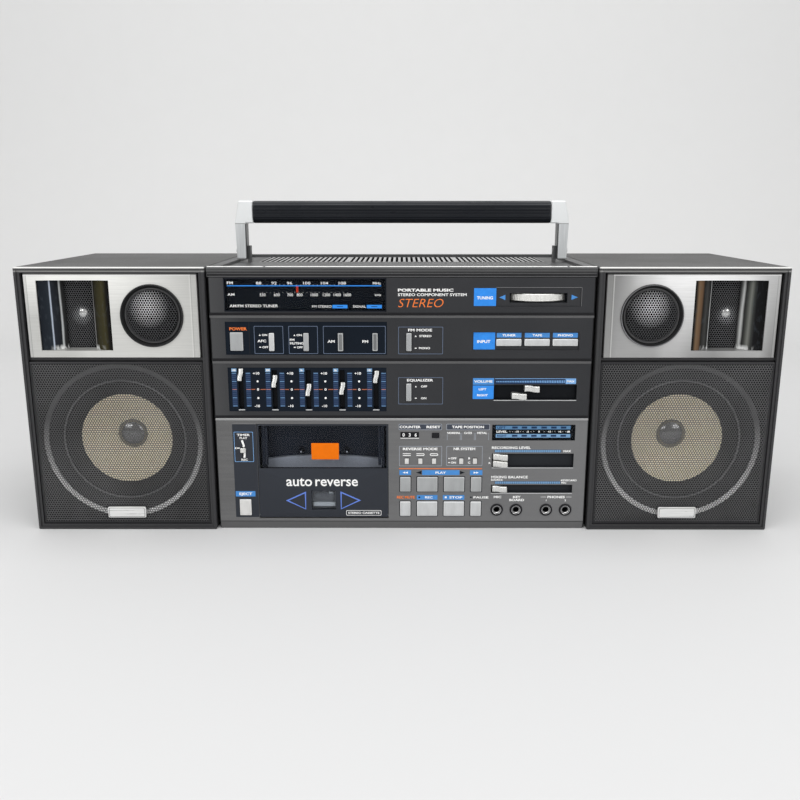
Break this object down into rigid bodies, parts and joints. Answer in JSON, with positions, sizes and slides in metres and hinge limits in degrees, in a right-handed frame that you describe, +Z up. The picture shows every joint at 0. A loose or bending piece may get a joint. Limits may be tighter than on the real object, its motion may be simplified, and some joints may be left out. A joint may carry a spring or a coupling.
{
  "type": "portable cassette stereo",
  "caption": "Portable stereo with a tuner, sliding equalizer and cassette deck between two lift-off speakers, under a folding carrying handle.",
  "frame": {"origin": "middle of the base's footprint, on the surface it stands on", "axes": "+X to the right as the user faces it, -Y out of the front, +Z up"},
  "size_m": [0.674, 0.203, 0.2971],
  "materials": {
    "black_plastic": "smooth",
    "brushed_plate": "brushed, chromed flares",
    "button_plastic": "smooth",
    "cabinet_grey": "leather-grain vinyl",
    "charcoal_plastic": "textured",
    "chrome_trim": "polished",
    "circuit_board": "etched",
    "cone_tan": "pressed paper cone",
    "deck_chassis_grey": "moulded",
    "deck_metal": "metallic grey, fine grain",
    "dial_glass": "clear",
    "grille_metal": "perforated",
    "grip_rubber": "lengthwise ribs",
    "handle_silver": "satin",
    "meter_glass": "clear",
    "mid_grille_metal": "perforated dome",
    "pointer_red": "smooth",
    "ribbed_aluminium": "ribbed edge",
    "slider_metal": "satin",
    "smoked_plastic": "smoked window over a dark panel"
  },
  "bodies": {
    "centre_unit": {"upper_fascia": "charcoal_plastic", "deck_fascia": "deck_metal", "cabinet_shell": "charcoal_plastic", "top_cover": "charcoal_plastic", "dial_window": "dial_glass", "meter_window": "meter_glass", "deck_chassis": "deck_chassis_grey", "main_board": "circuit_board", "battery_box": "black_plastic"},
    "eject_button": {"eject_button": "button_plastic"},
    "counter_reset_button": {"counter_reset_button": "button_plastic"},
    "rewind_button": {"rewind_button": "button_plastic"},
    "reverse_play_button": {"reverse_play_button": "button_plastic"},
    "forward_play_button": {"forward_play_button": "button_plastic"},
    "fast_forward_button": {"fast_forward_button": "button_plastic"},
    "record_mute_button": {"record_mute_button": "button_plastic"},
    "record_button": {"record_button": "button_plastic"},
    "stop_button": {"stop_button": "button_plastic"},
    "pause_button": {"pause_button": "button_plastic"},
    "power_button": {"power_button": "button_plastic"},
    "afc_button": {"afc_button": "button_plastic"},
    "fm_muting_button": {"fm_muting_button": "button_plastic"},
    "am_button": {"am_button": "button_plastic"},
    "fm_button": {"fm_button": "button_plastic"},
    "fm_mode_button": {"fm_mode_button": "button_plastic"},
    "equalizer_button": {"equalizer_button": "button_plastic"},
    "tuner_button": {"tuner_button": "button_plastic"},
    "tape_button": {"tape_button": "button_plastic"},
    "phono_button": {"phono_button": "button_plastic"},
    "equalizer_slider_1": {"equalizer_slider_1": "slider_metal"},
    "equalizer_slider_2": {"equalizer_slider_2": "slider_metal"},
    "equalizer_slider_3": {"equalizer_slider_3": "slider_metal"},
    "equalizer_slider_4": {"equalizer_slider_4": "slider_metal"},
    "equalizer_slider_5": {"equalizer_slider_5": "slider_metal"},
    "left_volume_slider": {"left_volume_slider": "slider_metal"},
    "right_volume_slider": {"right_volume_slider": "slider_metal"},
    "left_level_slider": {"left_level_slider": "slider_metal"},
    "right_level_slider": {"right_level_slider": "slider_metal"},
    "mixing_slider": {"mixing_slider": "slider_metal"},
    "timer_lever": {"timer_lever": "chrome_trim"},
    "tuning_wheel": {"tuning_wheel": "ribbed_aluminium"},
    "dial_pointer": {"dial_pointer": "pointer_red"},
    "cassette_door": {"cassette_door": "smoked_plastic"},
    "left_spindle": {"left_spindle": "black_plastic"},
    "right_spindle": {"right_spindle": "black_plastic"},
    "antenna_tube": {"antenna_tube": "chrome_trim"},
    "antenna_rod": {"antenna_rod": "chrome_trim"},
    "battery_cover": {"battery_cover": "charcoal_plastic"},
    "handle": {"handle_frame": "handle_silver", "handle_grip": "grip_rubber"},
    "left_speaker": {"left_cabinet": "cabinet_grey", "left_horn_panel": "brushed_plate", "left_mid_unit": "mid_grille_metal", "left_woofer_grille": "grille_metal", "left_woofer": "cone_tan"},
    "right_speaker": {"right_cabinet": "cabinet_grey", "right_horn_panel": "brushed_plate", "right_mid_unit": "mid_grille_metal", "right_woofer_grille": "grille_metal", "right_woofer": "cone_tan"}
  },
  "joints": [
    {"name": "eject_button_joint", "type": "slide", "parent": "centre_unit", "child": "eject_button", "axis": [0, 1, 0], "range_m": [0, 0.0022], "stiffness_N_per_m": 200},
    {"name": "counter_reset_button_joint", "type": "slide", "parent": "centre_unit", "child": "counter_reset_button", "axis": [0, 1, 0], "range_m": [0, 0.0022], "stiffness_N_per_m": 200},
    {"name": "rewind_button_joint", "type": "slide", "parent": "centre_unit", "child": "rewind_button", "axis": [0, 1, 0], "range_m": [0, 0.0022], "stiffness_N_per_m": 200},
    {"name": "reverse_play_button_joint", "type": "slide", "parent": "centre_unit", "child": "reverse_play_button", "axis": [0, 1, 0], "range_m": [0, 0.0022], "stiffness_N_per_m": 200},
    {"name": "forward_play_button_joint", "type": "slide", "parent": "centre_unit", "child": "forward_play_button", "axis": [0, 1, 0], "range_m": [0, 0.0022], "stiffness_N_per_m": 200},
    {"name": "fast_forward_button_joint", "type": "slide", "parent": "centre_unit", "child": "fast_forward_button", "axis": [0, 1, 0], "range_m": [0, 0.0022], "stiffness_N_per_m": 200},
    {"name": "record_mute_button_joint", "type": "slide", "parent": "centre_unit", "child": "record_mute_button", "axis": [0, 1, 0], "range_m": [0, 0.0022], "stiffness_N_per_m": 200},
    {"name": "record_button_joint", "type": "slide", "parent": "centre_unit", "child": "record_button", "axis": [0, 1, 0], "range_m": [0, 0.0022], "stiffness_N_per_m": 200},
    {"name": "stop_button_joint", "type": "slide", "parent": "centre_unit", "child": "stop_button", "axis": [0, 1, 0], "range_m": [0, 0.0022], "stiffness_N_per_m": 200},
    {"name": "pause_button_joint", "type": "slide", "parent": "centre_unit", "child": "pause_button", "axis": [0, 1, 0], "range_m": [0, 0.0022], "stiffness_N_per_m": 200},
    {"name": "power_button_joint", "type": "slide", "parent": "centre_unit", "child": "power_button", "axis": [0, 1, 0], "range_m": [0, 0.0022]},
    {"name": "afc_button_joint", "type": "slide", "parent": "centre_unit", "child": "afc_button", "axis": [0, 1, 0], "range_m": [0, 0.0022]},
    {"name": "fm_muting_button_joint", "type": "slide", "parent": "centre_unit", "child": "fm_muting_button", "axis": [0, 1, 0], "range_m": [0, 0.0022]},
    {"name": "am_button_joint", "type": "slide", "parent": "centre_unit", "child": "am_button", "axis": [0, 1, 0], "range_m": [0, 0.0022]},
    {"name": "fm_button_joint", "type": "slide", "parent": "centre_unit", "child": "fm_button", "axis": [0, 1, 0], "range_m": [-0.0011, 0.0011]},
    {"name": "fm_mode_button_joint", "type": "slide", "parent": "centre_unit", "child": "fm_mode_button", "axis": [0, 1, 0], "range_m": [0, 0.0022]},
    {"name": "equalizer_button_joint", "type": "slide", "parent": "centre_unit", "child": "equalizer_button", "axis": [0, 1, 0], "range_m": [0, 0.0022]},
    {"name": "tuner_button_joint", "type": "slide", "parent": "centre_unit", "child": "tuner_button", "axis": [0, 1, 0], "range_m": [0, 0.0022]},
    {"name": "tape_button_joint", "type": "slide", "parent": "centre_unit", "child": "tape_button", "axis": [0, 1, 0], "range_m": [0, 0.0022]},
    {"name": "phono_button_joint", "type": "slide", "parent": "centre_unit", "child": "phono_button", "axis": [0, 1, 0], "range_m": [0, 0.0022]},
    {"name": "equalizer_slider_1_joint", "type": "slide", "parent": "centre_unit", "child": "equalizer_slider_1", "axis": [0, 0, 1], "range_m": [-0.02976, 0.00224]},
    {"name": "equalizer_slider_2_joint", "type": "slide", "parent": "centre_unit", "child": "equalizer_slider_2", "axis": [0, 0, 1], "range_m": [-0.02384, 0.00816]},
    {"name": "equalizer_slider_3_joint", "type": "slide", "parent": "centre_unit", "child": "equalizer_slider_3", "axis": [0, 0, 1], "range_m": [-0.016, 0.016]},
    {"name": "equalizer_slider_4_joint", "type": "slide", "parent": "centre_unit", "child": "equalizer_slider_4", "axis": [0, 0, 1], "range_m": [-0.01728, 0.01472]},
    {"name": "equalizer_slider_5_joint", "type": "slide", "parent": "centre_unit", "child": "equalizer_slider_5", "axis": [0, 0, 1], "range_m": [-0.02784, 0.00416]},
    {"name": "left_volume_slider_joint", "type": "slide", "parent": "centre_unit", "child": "left_volume_slider", "axis": [1, 0, 0], "range_m": [-0.027, 0.033]},
    {"name": "right_volume_slider_joint", "type": "slide", "parent": "centre_unit", "child": "right_volume_slider", "axis": [1, 0, 0], "range_m": [-0.0156, 0.0444]},
    {"name": "left_level_slider_joint", "type": "slide", "parent": "centre_unit", "child": "left_level_slider", "axis": [1, 0, 0], "range_m": [-0.0006, 0.0598]},
    {"name": "right_level_slider_joint", "type": "slide", "parent": "centre_unit", "child": "right_level_slider", "axis": [1, 0, 0], "range_m": [-0.0006, 0.0598]},
    {"name": "mixing_slider_joint", "type": "slide", "parent": "centre_unit", "child": "mixing_slider", "axis": [1, 0, 0], "range_m": [-0.0006, 0.0598]},
    {"name": "timer_lever_joint", "type": "slide", "parent": "centre_unit", "child": "timer_lever", "axis": [0, 0, 1], "range_m": [-0.0057, 0.0057]},
    {"name": "tuning_wheel_joint", "type": "hinge", "parent": "centre_unit", "child": "tuning_wheel", "pos_m": [0.11951, -0.0654, 0.2152], "axis": [0, 0, 1], "range_deg": [-486, 590]},
    {"name": "dial_pointer_joint", "type": "slide", "parent": "centre_unit", "child": "dial_pointer", "axis": [1, 0, 0], "range_m": [-0.039, 0.047]},
    {"name": "cassette_door_joint", "type": "hinge", "parent": "centre_unit", "child": "cassette_door", "pos_m": [-0.07191, -0.09715, 0.01285], "axis": [1, 0, 0], "range_deg": [0, 25]},
    {"name": "left_spindle_joint", "type": "hinge", "parent": "centre_unit", "child": "left_spindle", "pos_m": [-0.09316, -0.0799, 0.07125], "axis": [0, -1, 0], "continuous": true},
    {"name": "right_spindle_joint", "type": "hinge", "parent": "centre_unit", "child": "right_spindle", "pos_m": [-0.05066, -0.0799, 0.07125], "axis": [0, -1, 0], "continuous": true},
    {"name": "antenna_tube_joint", "type": "hinge", "parent": "centre_unit", "child": "antenna_tube", "pos_m": [0.1496, 0.096, 0.22552], "axis": [0, 1, 0], "range_deg": [0, 90]},
    {"name": "antenna_rod_joint", "type": "slide", "parent": "antenna_tube", "child": "antenna_rod", "axis": [-1, 0, 0], "range_m": [0, 0.11]},
    {"name": "battery_cover_joint", "type": "slide", "parent": "centre_unit", "child": "battery_cover", "axis": [0, 1, 0], "range_m": [0, 0.03]},
    {"name": "handle_joint", "type": "hinge", "parent": "centre_unit", "child": "handle", "pos_m": [0, 0, 0.2501], "axis": [1, 0, 0], "range_deg": [-90, 0]},
    {"name": "left_speaker_joint", "type": "slide", "parent": "centre_unit", "child": "left_speaker", "axis": [0, 0, 1], "range_m": [0, 0.034]},
    {"name": "right_speaker_joint", "type": "slide", "parent": "centre_unit", "child": "right_speaker", "axis": [0, 0, 1], "range_m": [0, 0.034]}
  ],
  "couplings": [
    {"joint": "dial_pointer_joint", "follows": "tuning_wheel_joint", "m_per_rad": 0.004456}
  ]
}
